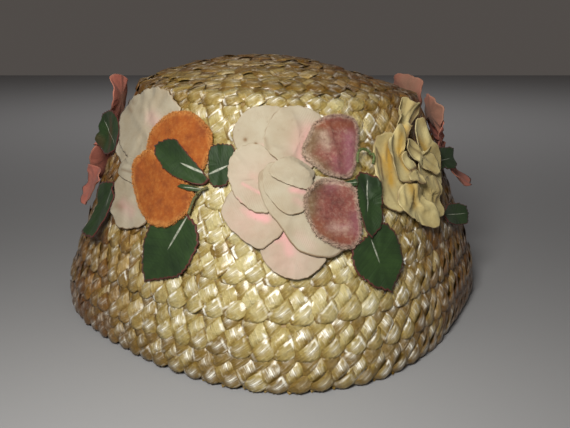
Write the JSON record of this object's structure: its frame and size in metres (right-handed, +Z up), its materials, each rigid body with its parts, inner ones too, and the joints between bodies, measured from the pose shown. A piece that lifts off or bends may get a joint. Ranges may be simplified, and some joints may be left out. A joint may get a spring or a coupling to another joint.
{
  "type": "bucket hat",
  "caption": "Bucket hat of glossy sewn straw plait with a garland of cut cloth and velvet flowers and green leaves round its side.",
  "frame": {"origin": "middle of the hat's box at the height of the surface that the rim stands on", "axes": "+Z up through the crown, +X to the wearer's left as the front is seen, -Y towards the viewer, where the middle flower is"},
  "size_m": [0.2754, 0.2766, 0.1534],
  "materials": {
    "straw": "glossy plaited straw, pale gold",
    "ivory_cloth": "stiffened matte cloth, ivory with a rose blush",
    "yellow_cloth": "stiffened matte cloth, yellow cream",
    "coral_cloth": "stiffened matte cloth, coral",
    "pink_velvet": "short-pile velvet, dusty rose",
    "orange_velvet": "short-pile velvet, orange",
    "leaf_cloth": "stiffened satin cloth, dark green",
    "wrapped_wire": "thin wire wound in green paper"
  },
  "bodies": {
    "root": {"brim": "straw", "crown_side": "straw", "crown_tip": "straw", "coral_left_petal_up": "coral_cloth", "coral_left_petal_front": "coral_cloth", "coral_left_petal_down": "coral_cloth", "coral_left_petal_back": "coral_cloth", "coral_left_heart": "coral_cloth", "coral_right_petal_up": "coral_cloth", "coral_right_petal_front": "coral_cloth", "coral_right_petal_down": "coral_cloth", "coral_right_petal_back": "coral_cloth", "coral_right_heart": "coral_cloth", "leaf_far_right_upper": "leaf_cloth", "leaf_far_right_lower": "leaf_cloth", "left_petal_side": "ivory_cloth", "left_petal_top": "ivory_cloth", "left_petal_bottom": "ivory_cloth", "left_petal_small": "ivory_cloth", "leaf_far_left_upper": "leaf_cloth", "leaf_far_left_lower": "leaf_cloth", "leaf_left_hanging": "leaf_cloth", "orange_velvet_upper": "orange_velvet", "orange_velvet_lower": "orange_velvet", "leaf_left_right": "leaf_cloth", "leaflet_left": "leaf_cloth", "leaf_left_upper": "leaf_cloth", "centre_petal_bottom": "ivory_cloth", "centre_petal_low_left": "ivory_cloth", "centre_petal_top_left": "ivory_cloth", "centre_petal_left": "ivory_cloth", "centre_petal_top": "ivory_cloth", "centre_petal_low_right": "ivory_cloth", "centre_petal_inner_low": "ivory_cloth", "centre_petal_inner_top": "ivory_cloth", "rose_petal_left": "yellow_cloth", "rose_petal_top": "yellow_cloth", "rose_petal_right": "yellow_cloth", "rose_petal_low_right": "yellow_cloth", "rose_petal_bottom": "yellow_cloth", "rose_inner_left": "yellow_cloth", "rose_inner_right": "yellow_cloth", "rose_inner_bottom": "yellow_cloth", "leaf_right_lower": "leaf_cloth", "leaf_right_upper": "leaf_cloth", "leaflet_right": "leaf_cloth", "pink_velvet_lower": "pink_velvet", "pink_velvet_upper": "pink_velvet", "leaf_back_left": "leaf_cloth", "leaf_back_right": "leaf_cloth", "back_petal_low_left": "ivory_cloth", "back_petal_low_right": "ivory_cloth", "back_petal_top_left": "ivory_cloth", "back_petal_top_right": "ivory_cloth", "back_velvet": "orange_velvet", "stem_left": "wrapped_wire", "stem_right_curl": "wrapped_wire"}
  },
  "joints": []
}
